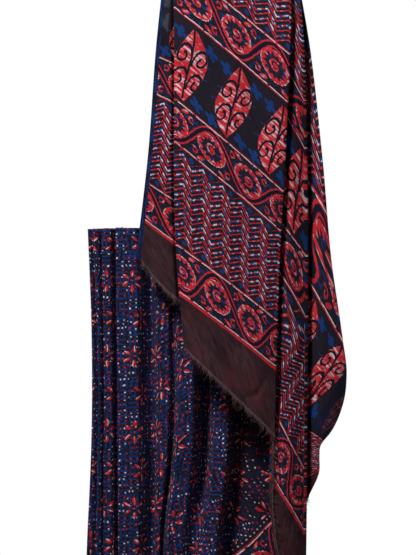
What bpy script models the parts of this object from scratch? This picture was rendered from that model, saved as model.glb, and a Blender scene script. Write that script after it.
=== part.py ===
"""A length of dabu print cloth, a sari, as it hangs on display.

One sheet of cloth: knife pleats at the left, cowl folds in the middle, a fan of cloth that rises behind to the
fold it hangs by, and the pallu, the patterned end, that falls in front in knife pleats of its own.
x is to the right, y to the back and z up, in metres. The origin is the top of the fold that the cloth hangs by.
"""

import math

import bpy
import numpy as np

# The cloth
CLOTH_WIDTH = 1.10
SHEET_THICKNESS = 0.0015
HANG_RADIUS = 0.052  # of the outermost layer where the cloth turns over what holds it up
WAIST_Z = -0.533  # top edge of the pleated part
SWAG_X = -0.148  # where the pleats end and the cowl folds begin

# The pallu's fold lines from left to right: how far below the top its end edge is there, and x at heights z.
PALLU_LINES = (
    ("left selvage", 0.578, ((-0.05, -0.120), (-0.20, -0.136), (-0.40, -0.151), (-0.58, -0.172))),
    ("hidden fold 1", 0.680, ((-0.05, -0.009), (-0.20, -0.015), (-0.40, -0.028), (-0.68, -0.043))),
    ("middle panel left edge", 0.757, ((-0.05, -0.104), (-0.20, -0.103), (-0.60, -0.098), (-0.757, -0.085))),
    ("middle panel right edge", 0.911, ((-0.05, 0.114), (-0.20, 0.111), (-0.40, 0.102), (-0.60, 0.091), (-0.91, 0.082))),
    ("hidden fold 2", 1.150, ((-0.05, -0.001), (-0.40, 0.015), (-0.62, 0.048), (-0.75, 0.062), (-0.87, 0.066), (-1.15, 0.066))),
    ("right panel edge", 1.244, ((-0.05, 0.124), (-0.20, 0.137), (-0.40, 0.143), (-0.90, 0.143), (-1.25, 0.140))),
    ("hidden fold 3", 1.120, ((-0.05, 0.011), (-0.40, 0.027), (-0.62, 0.062), (-0.80, 0.085), (-1.15, 0.088))),
    ("right selvage", 1.031, (
        (-0.05, 0.121), (-0.20, 0.147), (-0.40, 0.170), (-0.60, 0.188), (-0.74, 0.208), (-0.80, 0.215),
        (-0.86, 0.208), (-0.91, 0.188), (-0.935, 0.165), (-0.955, 0.158), (-0.98, 0.164), (-1.031, 0.146),
    )),
)
# y of the layer that follows each line above, and how far its middle stands forward where it hangs free.
PALLU_LAYERS = (
    (-0.042, -0.002),
    (-0.047, 0.0),
    (-0.052, 0.005),
    (-0.046, 0.0),
    (-0.040, 0.002),
    (-0.034, 0.0),
    (-0.028, 0.002),
)
LEFT_END_BOW = 0.026  # the end edge sags by this between the first two lines

# The knife pleats at the left: the cloth's free end, its folds in turn, and x at heights z.
PLEAT_LINES = (
    ("free end", ((-0.533, -0.163), (-1.64, -0.160))),
    ("pleat 1 edge", ((-0.533, -0.266), (-0.72, -0.259), (-0.92, -0.259), (-1.14, -0.268), (-1.64, -0.280))),
    ("pleat 1 back fold", ((-0.533, -0.196), (-1.64, -0.196))),
    ("pleat 2 edge", ((-0.533, -0.256), (-0.72, -0.247), (-1.14, -0.250), (-1.64, -0.255))),
    ("pleat 2 back fold", ((-0.533, -0.192), (-1.64, -0.192))),
    ("pleat 3 edge", ((-0.533, -0.239), (-0.72, -0.235), (-1.14, -0.235), (-1.64, -0.236))),
    ("pleat 3 back fold", ((-0.533, -0.188), (-1.64, -0.188))),
    ("pleat 4 edge", ((-0.533, -0.212), (-0.80, -0.209), (-1.64, -0.206))),
    ("end of the pleats", ((-0.533, SWAG_X), (-1.64, SWAG_X))),
)
PLEAT_LAYER_Y = (0.040, 0.034, 0.028, 0.021, 0.014, 0.007, 0.000)

# The cowl folds, crests and valleys from left to right: x and y at each of these heights.
COWL_Z = (-0.533, -0.722, -0.852, -0.981, -1.093, -1.222, -1.444, -1.640)
COWL_FOLDS = (
    ("pleat 4 crest", (-0.193, -0.191, -0.191, -0.191, -0.193, -0.193, -0.193, -0.193),
     (-0.010, -0.012, -0.012, -0.012, -0.012, -0.012, -0.012, -0.012)),
    ("valley a", (-0.148, -0.146, -0.146, -0.144, -0.145, -0.149, -0.149, -0.149),
     (0.014, 0.016, 0.018, 0.018, 0.016, 0.014, 0.012, 0.010)),
    ("crest b", (-0.124, -0.120, -0.120, -0.127, -0.133, -0.134, -0.136, -0.138),
     (0.000, -0.004, -0.002, 0.006, 0.012, 0.010, 0.008, 0.007)),
    ("crease", (-0.107, -0.106, -0.106, -0.118, -0.126, -0.127, -0.128, -0.130),
     (0.006, 0.005, 0.006, 0.012, 0.015, 0.012, 0.010, 0.009)),
    ("crest c", (-0.089, -0.087, -0.087, -0.096, -0.107, -0.107, -0.111, -0.115),
     (-0.004, -0.010, -0.013, -0.014, -0.014, -0.012, -0.010, -0.010)),
    ("valley c", (-0.056, -0.059, -0.059, -0.061, -0.070, -0.074, -0.078, -0.080),
     (0.022, 0.028, 0.032, 0.028, 0.006, 0.009, 0.012, 0.012)),
    ("crest d", (-0.011, -0.015, -0.020, -0.020, -0.033, -0.041, -0.044, -0.046),
     (0.012, 0.004, -0.004, -0.009, -0.011, -0.011, -0.008, -0.008)),
    ("valley d", (0.019, 0.015, 0.011, 0.007, -0.004, -0.011, -0.014, -0.016),
     (0.036, 0.039, 0.041, 0.041, 0.039, 0.034, 0.020, 0.018)),
    ("far crest", (0.048, 0.048, 0.048, 0.048, 0.044, 0.041, 0.030, 0.024),
     (0.036, 0.034, 0.032, 0.031, 0.031, 0.030, 0.010, 0.004)),
    ("right end", (0.140, 0.140, 0.140, 0.140, 0.140, 0.140, 0.140, 0.140),
     (0.044, 0.044, 0.044, 0.044, 0.044, 0.044, 0.040, 0.040)),
)

# The fan behind: its inner and outer selvage, from the pleats (0) to the hanging fold (1), as (part, x, z).
INNER_EDGE = (
    (0.0, SWAG_X, WAIST_Z), (0.2, -0.144, -0.46), (0.4, -0.138, -0.36), (0.6, -0.128, -0.25),
    (0.8, -0.118, -0.13), (1.0, -0.120, -HANG_RADIUS),
)
OUTER_EDGE = (
    (0.0, SWAG_X, WAIST_Z - CLOTH_WIDTH), (0.1, -0.115, -1.546), (0.2, -0.074, -1.435), (0.3, -0.022, -1.324),
    (0.4, 0.033, -1.231), (0.5, 0.085, -1.157), (0.6, 0.122, -1.046), (0.7, 0.133, -0.852),
    (0.8, 0.133, -0.611), (0.9, 0.130, -0.315), (1.0, 0.121, -HANG_RADIUS),
)
GATHER_START = 0.5  # the part of the fan where its cloth begins to gather into the pallu's layers
LAYER_START = 0.45  # where it begins to move back to their depth, and where it is there
LAYER_STOP = 0.75
LAYER_SPREAD = 1.8  # how much further apart the layers lie low in the fan

# How finely each stretch is drawn
TURN_STEPS = 2
PALLU_PANEL_STEPS = (3, 2, 5, 2, 5, 2, 5)
PLEAT_LAYER_STEPS = (1, 1, 1, 1, 1, 1, 1, 3)
FAN_STEPS = 32
HANG_STEPS = 6
PALLU_ROWS = (0.0, 0.10, 0.20, 0.30, 0.40, 0.50, 0.60, 0.68, 0.75, 0.80, 0.84, 0.88, 0.91, 0.94, 0.97, 1.0)

PRINT_COLOUR = (0.030, 0.017, 0.028, 1.0)
PRINT_ROUGHNESS = 0.85


def ease(part):
    """0 to 1, slow at both ends, for a part from 0 to 1; it stays at the end values outside."""
    part = np.clip(part, 0.0, 1.0)
    return part * part * (3 - 2 * part)


def along(knots, places, at):
    """A smooth curve through (places, knots), read at the given places."""
    order = np.argsort(places)
    x, y = np.asarray(places, float)[order], np.asarray(knots, float)[order]
    slope = np.gradient(y, x) if len(x) > 2 else np.full(len(x), (y[-1] - y[0]) / (x[-1] - x[0]))
    at = np.clip(at, x[0], x[-1])
    left = np.clip(np.searchsorted(x, at, side="right") - 1, 0, len(x) - 2)
    step = x[left + 1] - x[left]
    t = (at - x[left]) / step
    rise = t * t * (3 - 2 * t)
    start = t * (1 - t) ** 2
    stop = t * t * (t - 1)
    return y[left] * (1 - rise) + y[left + 1] * rise + step * (start * slope[left] + stop * slope[left + 1])


def line_x(points, z):
    """x of a fold line at heights z."""
    return along([x for _, x in points], [height for height, _ in points], z)


def stations(steps, turn_steps):
    """The places across a folded sheet, as (layer, part of it) or (turn, part of it), in turn."""
    found = []
    for layer, count in enumerate(steps):
        first = 0 if layer == 0 else 1
        last = count if layer == len(steps) - 1 else count - 1
        found += [("layer", layer, k / count) for k in range(first, last + 1)]
        if layer < len(steps) - 1:
            found += [("turn", layer, k / turn_steps) for k in range(turn_steps + 1)]
    return found


def folded(station, xs, ys):
    """x and y of a station on a sheet folded back and forth between lines xs, its layers at depths ys."""
    kind, layer, part = station
    turns = []
    for k in range(1, len(xs) - 1):
        radius = np.abs(ys[k] - ys[k - 1]) / 2
        outward = 1.0 if k % 2 == TURN_SIDE[len(xs)] else -1.0
        turns.append((xs[k] - outward * radius, outward, radius))
    if kind == "turn":
        middle, outward, radius = turns[layer]
        angle = math.pi * part
        x = middle + outward * radius * math.sin(angle)
        y = ys[layer] + (ys[layer + 1] - ys[layer]) * (1 - math.cos(angle)) / 2
        return x, y
    start = xs[0] if layer == 0 else turns[layer - 1][0]
    stop = xs[-1] if layer == len(xs) - 2 else turns[layer][0]
    return start + (stop - start) * part, ys[layer] + 0 * xs[0]


# The side of a folded sheet's first turn: 1 is the right, 0 the left, by the number of its lines.
TURN_SIDE = {len(PALLU_LINES): 1, len(PLEAT_LINES): 0}


def cowl_y(x, z):
    """Depth of the cowl folds at x and z."""
    xs = np.array([along(xs, COWL_Z, z) for _, xs, _ in COWL_FOLDS])
    ys = np.array([along(ys, COWL_Z, z) for _, _, ys in COWL_FOLDS])
    depth = ys[0] + 0 * x
    for k in range(len(COWL_FOLDS) - 1):
        part = (x - xs[k]) / (xs[k + 1] - xs[k])
        depth = np.where(part > 0, ys[k] + (ys[k + 1] - ys[k]) * ease(part), depth)
    return depth


def pallu_xy(station, z):
    """x and y of a station of the pallu at heights z."""
    xs = [line_x(points, z) for _, _, points in PALLU_LINES]
    ys = [y + 0 * z for y, _ in PALLU_LAYERS]
    x, y = folded(station, xs, ys)
    kind, layer, part = station
    if kind == "layer":
        free = ease((-z - HANG_RADIUS) / 0.3)
        y = y - PALLU_LAYERS[layer][1] * free * 4 * part * (1 - part)
    return x, y


def end_edge(station):
    """How far below the top the pallu's end edge is at a station."""
    kind, layer, part = station
    if kind == "turn":
        return PALLU_LINES[layer + 1][1]
    here, there = PALLU_LINES[layer][1], PALLU_LINES[layer + 1][1]
    bow = LEFT_END_BOW * 4 * part * (1 - part) if layer == 0 else 0.0
    return here + (there - here) * part + bow


def across(across_stations):
    """How far each station is from the left or upper selvage along the cloth."""
    level = np.array(-0.45)
    points = np.array([pallu_xy(station, level) for station in across_stations])
    steps = np.hypot(*np.diff(points, axis=0).T)
    reach = np.concatenate([[0], np.cumsum(steps)])
    return CLOTH_WIDTH * reach / reach[-1]


def pleat_line(station, widths):
    """The upright line of cloth at a station of the knife pleats."""
    z = WAIST_Z - widths
    xs = [line_x(points, z) for _, points in PLEAT_LINES]
    front = cowl_y(xs[-2] + 0.006, z)
    ys = [y + 0 * z for y in PLEAT_LAYER_Y] + [front]
    x, y = folded(station, xs, ys)
    kind, layer, part = station
    if kind == "layer" and layer == len(PLEAT_LINES) - 2:
        y = cowl_y(x, z) * ease(4 * part) + front * (1 - ease(4 * part))
    return np.stack([x, y, z], 1)


def fan_line(part, across_stations, widths):
    """The line of cloth across the fan, part of the way from the pleats to the hanging fold."""
    share = widths / CLOTH_WIDTH
    inner = [along([row[k] for row in INNER_EDGE], [row[0] for row in INNER_EDGE], part) for k in (1, 2)]
    outer = [along([row[k] for row in OUTER_EDGE], [row[0] for row in OUTER_EDGE], part) for k in (1, 2)]
    x, z = (a + (b - a) * share for a, b in zip(inner, outer))
    top = np.array([pallu_xy(station, np.array(-HANG_RADIUS)) for station in across_stations])
    gather = ease((part - GATHER_START) / (1 - GATHER_START)) ** 1.5
    layered = ease((part - LAYER_START) / (LAYER_STOP - LAYER_START))
    middles = [widths[[k for k, row in enumerate(across_stations) if row[:2] == ("layer", layer)]].mean()
               for layer in range(len(PALLU_LAYERS))]
    rounded = along([y for y, _ in PALLU_LAYERS], middles, widths)
    depth = HANG_RADIUS + rounded + (top[:, 1] - rounded) * ease(gather)
    back = HANG_RADIUS - depth * (1 + LAYER_SPREAD * (1 - gather))
    y = cowl_y(x, z) * (1 - layered) + back * layered
    return np.stack([x + (top[:, 0] - x) * gather, y, z], 1)


def hang_line(turn, across_stations):
    """The line of cloth across the fold it hangs by, turned by an angle from the back (0) to the front (pi)."""
    top = np.array([pallu_xy(station, np.array(-HANG_RADIUS)) for station in across_stations])
    radius = -top[:, 1]
    return np.stack([top[:, 0], radius * math.cos(turn), -HANG_RADIUS + radius * math.sin(turn)], 1)


def pallu_line(part, across_stations):
    """The line of cloth across the pallu, part of the way from the hanging fold to its end edge."""
    line = []
    for station in across_stations:
        z = np.array(-HANG_RADIUS - part * (end_edge(station) - HANG_RADIUS))
        line.append((*pallu_xy(station, z), z))
    return np.array(line, float)


def sari_points():
    """The whole sheet, as lines of points across the cloth from its free end to the pallu's end edge."""
    across_stations = stations(PALLU_PANEL_STEPS, TURN_STEPS)
    widths = across(across_stations)
    lines = [pleat_line(station, widths) for station in stations(PLEAT_LAYER_STEPS, TURN_STEPS)]
    lines += [fan_line(k / FAN_STEPS, across_stations, widths) for k in range(1, FAN_STEPS + 1)]
    lines += [hang_line(math.pi * k / HANG_STEPS, across_stations) for k in range(1, HANG_STEPS)]
    lines += [pallu_line(part, across_stations) for part in PALLU_ROWS]
    return np.array(lines)


def sheet_mesh(name, points):
    """A mesh of four-sided faces between neighbouring lines of points."""
    rows, columns = points.shape[:2]
    corner = np.arange(rows * columns).reshape(rows, columns)
    faces = np.stack([corner[:-1, :-1], corner[:-1, 1:], corner[1:, 1:], corner[1:, :-1]], -1)
    mesh = bpy.data.meshes.new(name)
    mesh.from_pydata(points.reshape(-1, 3).tolist(), [], faces.reshape(-1, 4).tolist())
    mesh.shade_smooth()
    return mesh


def cloth_material():
    """The dark ground of the print."""
    material = bpy.data.materials.new("dabu_print")
    material.use_nodes = True
    shader = material.node_tree.nodes["Principled BSDF"]
    shader.inputs["Base Color"].default_value = PRINT_COLOUR
    shader.inputs["Roughness"].default_value = PRINT_ROUGHNESS
    return material


def add_sari(collection):
    """The cloth as one solid sheet."""
    cloth = bpy.data.objects.new("sari_cloth", sheet_mesh("sari_cloth", sari_points()))
    collection.objects.link(cloth)
    cloth.data.materials.append(cloth_material())
    thick = cloth.modifiers.new("cloth thickness", "SOLIDIFY")
    thick.thickness = SHEET_THICKNESS
    thick.offset = 0.0
    return cloth


def main():
    for old in list(bpy.data.objects):
        bpy.data.objects.remove(old)
    collection = bpy.data.collections.new("dabu_print_sari")
    bpy.context.scene.collection.children.link(collection)
    add_sari(collection)


main()
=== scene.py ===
"""A length of dabu print cloth, a sari, as it hangs on display.

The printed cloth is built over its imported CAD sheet, from the same fold lines drawn finer and deeper, with
its creases, its frayed end and its block print. x is to the right, y to the back and z up, in metres. The
origin is the top of the fold that the cloth hangs by.
"""

import math
from functools import partial

import bpy
import numpy as np
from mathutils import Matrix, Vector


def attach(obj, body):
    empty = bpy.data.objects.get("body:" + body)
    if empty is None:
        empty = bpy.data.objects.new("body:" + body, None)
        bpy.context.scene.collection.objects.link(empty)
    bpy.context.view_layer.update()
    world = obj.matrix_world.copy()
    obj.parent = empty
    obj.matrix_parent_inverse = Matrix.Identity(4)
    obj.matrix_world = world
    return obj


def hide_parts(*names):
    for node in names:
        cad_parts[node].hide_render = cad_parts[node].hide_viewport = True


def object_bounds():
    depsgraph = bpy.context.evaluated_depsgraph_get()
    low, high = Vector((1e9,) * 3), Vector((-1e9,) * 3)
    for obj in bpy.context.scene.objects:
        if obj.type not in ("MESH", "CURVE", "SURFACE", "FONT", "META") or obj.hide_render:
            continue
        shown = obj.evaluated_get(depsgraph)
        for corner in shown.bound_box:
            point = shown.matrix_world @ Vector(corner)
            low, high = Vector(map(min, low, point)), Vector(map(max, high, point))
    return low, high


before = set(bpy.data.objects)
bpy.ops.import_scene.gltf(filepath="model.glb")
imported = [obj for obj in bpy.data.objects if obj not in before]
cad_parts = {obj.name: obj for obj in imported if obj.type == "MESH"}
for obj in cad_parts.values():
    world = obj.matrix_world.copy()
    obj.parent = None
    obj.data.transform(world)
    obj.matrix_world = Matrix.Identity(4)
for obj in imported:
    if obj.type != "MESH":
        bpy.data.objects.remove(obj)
cad_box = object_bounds()

# The cloth
CLOTH_WIDTH = 1.10
HANG_RADIUS = 0.052  # of the outermost layer where the cloth turns over what holds it up
WAIST_Z = -0.533  # top edge of the pleated part
SWAG_X = -0.148  # where the pleats end and the cowl folds begin
ROLL_RADIUS = 0.0022  # the pleats' top edge is rolled to the back

# The pallu's fold lines from left to right: how far below the top its end edge is there, and x at heights z.
PALLU_LINES = (
    ("left selvage", 0.578, ((-0.05, -0.120), (-0.20, -0.136), (-0.40, -0.151), (-0.58, -0.172))),
    ("hidden fold 1", 0.680, ((-0.05, -0.009), (-0.20, -0.015), (-0.40, -0.028), (-0.68, -0.043))),
    ("middle panel left edge", 0.757, ((-0.05, -0.104), (-0.20, -0.103), (-0.60, -0.098), (-0.757, -0.085))),
    ("middle panel right edge", 0.911, (
        (-0.05, 0.114), (-0.20, 0.111), (-0.40, 0.102), (-0.60, 0.091), (-0.91, 0.082),
    )),
    ("hidden fold 2", 1.150, (
        (-0.05, -0.001), (-0.40, 0.015), (-0.62, 0.048), (-0.75, 0.064), (-0.87, 0.074), (-0.95, 0.072),
        (-1.03, 0.072), (-1.10, 0.079), (-1.15, 0.088),
    )),
    ("right panel edge", 1.244, (
        (-0.05, 0.124), (-0.20, 0.137), (-0.40, 0.143), (-0.90, 0.143), (-1.25, 0.140),
    )),
    ("hidden fold 3", 1.120, (
        (-0.05, 0.011), (-0.40, 0.027), (-0.62, 0.062), (-0.80, 0.085), (-1.15, 0.088),
    )),
    ("right selvage", 1.031, (
        (-0.05, 0.121), (-0.20, 0.147), (-0.40, 0.170), (-0.60, 0.188), (-0.74, 0.208), (-0.80, 0.215),
        (-0.86, 0.208), (-0.91, 0.186), (-0.935, 0.167), (-0.955, 0.165), (-0.98, 0.165), (-1.031, 0.146),
    )),
)
# The layer that follows each line above: its y, how far its middle stands forward where it hangs free, and
# its y low down, where the layers part.
PALLU_LAYERS = (
    (-0.042, 0.003, -0.040),
    (-0.047, 0.0, -0.048),
    (-0.052, 0.0055, -0.055),
    (-0.046, 0.0, -0.049),
    (-0.040, 0.004, -0.041),
    (-0.034, 0.0, -0.029),
    (-0.028, 0.004, -0.018),
)
LEFT_END_BOW = 0.026  # the end edge sags by this between the first two lines
LAYER_WIDTHS = (0.120, 0.080, 0.207, 0.1176, 0.130, 0.120, 0.190)  # cloth in each layer, for the print

# The print's bands across the pallu, from its end edge up, and how far below the top each band begins on each
# fold line above.
BANDS = (
    ("plain end", 0.0, None),
    ("scroll 3", 0.092, (0.515, 0.604, 0.656, 0.790, 0.989, 1.093, 1.037, 0.978)),
    ("herringbone 2", 0.182, (0.446, 0.522, 0.563, 0.700, 0.861, 0.974, 0.981, 0.972)),
    ("scroll 2", 0.364, (0.287, 0.343, 0.380, 0.541, 0.552, 0.700, 0.940, 0.935)),
    ("leaves", 0.446, (0.215, 0.265, 0.297, 0.464, 0.446, 0.581, 0.885, 0.928)),
    ("scroll 1", 0.609, (0.072, 0.113, 0.134, 0.306, 0.163, 0.389, 0.450, 0.752)),
    ("herringbone 1", 0.700, (-0.009, 0.028, 0.042, 0.213, 0.056, 0.296, 0.222, 0.500)),
    ("scroll 0", 0.882, (-0.170, -0.140, -0.140, 0.030, -0.120, 0.110, 0.020, 0.185)),
    ("body", 0.972, None),
)
MIDDLE_PANEL_U = LAYER_WIDTHS[0] + LAYER_WIDTHS[1]

# The knife pleats at the left: the cloth's free end, its folds in turn, and x at heights z.
PLEAT_LINES = (
    ("free end", ((-0.533, -0.163), (-1.64, -0.160))),
    ("pleat 1 edge", ((-0.533, -0.266), (-0.72, -0.259), (-0.92, -0.259), (-1.14, -0.268), (-1.64, -0.280))),
    ("pleat 1 back fold", ((-0.533, -0.196), (-1.64, -0.196))),
    ("pleat 2 edge", ((-0.533, -0.256), (-0.72, -0.247), (-1.14, -0.250), (-1.64, -0.255))),
    ("pleat 2 back fold", ((-0.533, -0.192), (-1.64, -0.192))),
    ("pleat 3 edge", ((-0.533, -0.239), (-0.72, -0.235), (-1.14, -0.235), (-1.64, -0.236))),
    ("pleat 3 back fold", ((-0.533, -0.188), (-1.64, -0.188))),
    ("pleat 4 edge", ((-0.533, -0.212), (-0.80, -0.209), (-1.64, -0.206))),
    ("end of the pleats", ((-0.533, SWAG_X), (-1.64, SWAG_X))),
)
PLEAT_LAYER_Y = (0.050, 0.045, 0.035, 0.030, 0.018, 0.013, -0.005)
PLEAT_DIP = 0.001  # the front of each pleat falls back by this towards the next
PLEAT_GROOVES = (  # number of the pleat edge, depth, width: what lies behind a pleat's edge falls back there
    (3, 0.009, 0.0045),
    (5, 0.014, 0.0048),
    (7, 0.024, 0.0065),
)
PLEAT_TOPS = (0.0, -0.002, -0.001, -0.003, 0.0, -0.001, 0.001, 0.0)  # height of each layer's top edge

# The cowl folds, crests and valleys from left to right: x and y at each of these heights.
COWL_Z = (-0.533, -0.722, -0.852, -0.981, -1.093, -1.222, -1.444, -1.640)
COWL_FOLDS = (
    ("crest of pleat 4", (-0.193, -0.191, -0.191, -0.191, -0.193, -0.193, -0.193, -0.193),
     (-0.012, -0.013, -0.014, -0.014, -0.014, -0.012, -0.012, -0.012)),
    ("valley a", (-0.148, -0.146, -0.144, -0.142, -0.143, -0.147, -0.149, -0.149),
     (0.020, 0.024, 0.027, 0.028, 0.026, 0.022, 0.018, 0.014)),
    ("crest b", (-0.124, -0.120, -0.118, -0.122, -0.131, -0.134, -0.136, -0.138),
     (0.000, -0.004, -0.002, 0.004, 0.010, 0.010, 0.008, 0.007)),
    ("valley of the crease", (-0.107, -0.106, -0.105, -0.114, -0.127, -0.128, -0.129, -0.131),
     (0.012, 0.014, 0.018, 0.026, 0.032, 0.024, 0.014, 0.010)),
    ("crest c", (-0.088, -0.086, -0.085, -0.092, -0.104, -0.107, -0.111, -0.115),
     (-0.004, -0.011, -0.016, -0.016, -0.014, -0.012, -0.010, -0.010)),
    ("valley c", (-0.052, -0.048, -0.045, -0.048, -0.064, -0.074, -0.078, -0.080),
     (0.030, 0.044, 0.053, 0.046, 0.014, 0.010, 0.012, 0.012)),
    ("crest d", (-0.013, -0.014, -0.016, -0.020, -0.034, -0.041, -0.044, -0.046),
     (0.012, 0.004, -0.006, -0.010, -0.011, -0.011, -0.008, -0.008)),
    ("valley d", (0.017, 0.014, 0.012, 0.008, -0.006, -0.011, -0.014, -0.016),
     (0.046, 0.054, 0.060, 0.060, 0.056, 0.044, 0.024, 0.020)),
    ("far crest", (0.048, 0.048, 0.048, 0.048, 0.044, 0.041, 0.030, 0.024),
     (0.040, 0.038, 0.037, 0.036, 0.034, 0.031, 0.010, 0.004)),
    ("right end", (0.140,) * 8,
     (0.044, 0.044, 0.044, 0.044, 0.044, 0.044, 0.040, 0.040)),
)
CREST_HOLD = 0.38  # a crest stays broad for this part of the way down to a valley

# The fan behind: its inner and outer selvage, from the pleats (0) to the hanging fold (1), as (part, x, z).
INNER_EDGE = (
    (0.0, SWAG_X, WAIST_Z), (0.2, -0.144, -0.46), (0.4, -0.138, -0.36), (0.6, -0.128, -0.25),
    (0.8, -0.118, -0.13), (1.0, -0.120, -HANG_RADIUS),
)
OUTER_EDGE = (
    (0.0, SWAG_X, WAIST_Z - CLOTH_WIDTH), (0.1, -0.115, -1.546), (0.2, -0.074, -1.435), (0.3, -0.022, -1.324),
    (0.4, 0.033, -1.231), (0.5, 0.085, -1.157), (0.6, 0.122, -1.046), (0.7, 0.133, -0.852),
    (0.8, 0.133, -0.611), (0.9, 0.130, -0.315), (1.0, 0.121, -HANG_RADIUS),
)
GATHER_START = 0.5  # the part of the fan where its cloth begins to gather into the pallu's layers
LAYER_START = 0.45  # where it begins to move back to their depth, and where it is there
LAYER_STOP = 0.75
LAYER_SPREAD = 1.8  # how much further apart the layers lie low in the fan
PIECE_SPLIT = 0.93  # the part of the fan where the body piece ends and the pallu piece begins

# How finely each stretch is drawn
TURN_STEPS = 5
PALLU_PANEL_STEPS = (60, 10, 62, 10, 42, 10, 56)
PLEAT_LAYER_STEPS = (8, 20, 12, 20, 12, 20, 12, 34)
FAN_STEPS = 155
SPLIT_STEPS = 12
HANG_STEPS = 20
PALLU_STEPS = 200


def ease(part):
    """0 to 1, slow at both ends, for a part from 0 to 1; it stays at the end values outside."""
    part = np.clip(part, 0.0, 1.0)
    return part * part * (3 - 2 * part)


def along(knots, places, at):
    """A smooth curve through (places, knots), read at the given places."""
    order = np.argsort(places)
    x, y = np.asarray(places, float)[order], np.asarray(knots, float)[order]
    slope = np.gradient(y, x) if len(x) > 2 else np.full(len(x), (y[-1] - y[0]) / (x[-1] - x[0]))
    at = np.clip(at, x[0], x[-1])
    left = np.clip(np.searchsorted(x, at, side="right") - 1, 0, len(x) - 2)
    step = x[left + 1] - x[left]
    t = (at - x[left]) / step
    rise = t * t * (3 - 2 * t)
    start = t * (1 - t) ** 2
    stop = t * t * (t - 1)
    return y[left] * (1 - rise) + y[left + 1] * rise + step * (start * slope[left] + stop * slope[left + 1])


def line_x(points, z):
    """x of a fold line at heights z."""
    return along([x for _, x in points], [height for height, _ in points], z)


def stations(steps, turn_steps):
    """The places across a folded sheet, as (layer, part of it) or (turn, part of it), in turn."""
    found = []
    for layer, count in enumerate(steps):
        first = 0 if layer == 0 else 1
        last = count if layer == len(steps) - 1 else count - 1
        found += [("layer", layer, k / count) for k in range(first, last + 1)]
        if layer < len(steps) - 1:
            found += [("turn", layer, k / turn_steps) for k in range(turn_steps + 1)]
    return found


# The side of a folded sheet's first turn: 1 is the right, 0 the left, by the number of its lines.
TURN_SIDE = {len(PALLU_LINES): 1, len(PLEAT_LINES): 0}


def folded(station, xs, ys):
    """x and y of a station on a sheet folded back and forth between lines xs, its layers at depths ys."""
    kind, layer, part = station
    turns = []
    for k in range(1, len(xs) - 1):
        radius = np.abs(ys[k] - ys[k - 1]) / 2
        outward = 1.0 if k % 2 == TURN_SIDE[len(xs)] else -1.0
        turns.append((xs[k] - outward * radius, outward, radius))
    if kind == "turn":
        middle, outward, radius = turns[layer]
        angle = math.pi * part
        x = middle + outward * radius * math.sin(angle)
        y = ys[layer] + (ys[layer + 1] - ys[layer]) * (1 - math.cos(angle)) / 2
        return x, y
    start = xs[0] if layer == 0 else turns[layer - 1][0]
    stop = xs[-1] if layer == len(xs) - 2 else turns[layer][0]
    return start + (stop - start) * part, ys[layer] + 0 * xs[0]


def cowl_y(x, z):
    """Depth of the cowl folds at x and z."""
    xs = np.array([along(xs, COWL_Z, z) for _, xs, _ in COWL_FOLDS])
    ys = np.array([along(ys, COWL_Z, z) for _, _, ys in COWL_FOLDS])
    depth = ys[0] + 0 * x
    for k in range(len(COWL_FOLDS) - 1):
        part = np.clip((x - xs[k]) / (xs[k + 1] - xs[k]), 0, 1)
        down = COWL_FOLDS[k + 1][0].startswith("valley")
        fall = part if down else 1 - part
        fall = ease((fall - CREST_HOLD) / (1 - CREST_HOLD))
        crest, valley = (ys[k], ys[k + 1]) if down else (ys[k + 1], ys[k])
        depth = np.where(x > xs[k], crest + (valley - crest) * fall, depth)
    return depth


def pallu_xy(station, z):
    """x and y of a station of the pallu at heights z."""
    xs = [line_x(points, z) for _, _, points in PALLU_LINES]
    free = ease((-z - HANG_RADIUS) / 0.3)
    ys = [y + (low - y) * free for y, _, low in PALLU_LAYERS]
    x, y = folded(station, xs, ys)
    kind, layer, part = station
    if kind == "layer":
        y = y - PALLU_LAYERS[layer][1] * free * (1 - (2 * part - 1) ** 4)
    return x, y


def between_lines(station, values):
    """A value given on each fold line, read at a station."""
    kind, layer, part = station
    if kind == "turn":
        return values[layer + 1]
    return values[layer] + (values[layer + 1] - values[layer]) * part


def end_edge(station):
    """How far below the top the pallu's end edge is at a station."""
    kind, layer, part = station
    bow = LEFT_END_BOW * 4 * part * (1 - part) if (kind, layer) == ("layer", 0) else 0.0
    return between_lines(station, [row[1] for row in PALLU_LINES]) + bow


def run_along(points):
    """How far each point is from the first, along its line of points."""
    steps = np.linalg.norm(np.diff(points, axis=0), axis=-1)
    return np.insert(np.cumsum(steps, axis=0), 0, 0, axis=0)


def across(columns):
    """How far each station is from the left or upper selvage along the cloth."""
    level = np.array(-0.45)
    reach = run_along(np.array([pallu_xy(station, level) for station in columns]))
    return CLOTH_WIDTH * reach / reach[-1]


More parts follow.
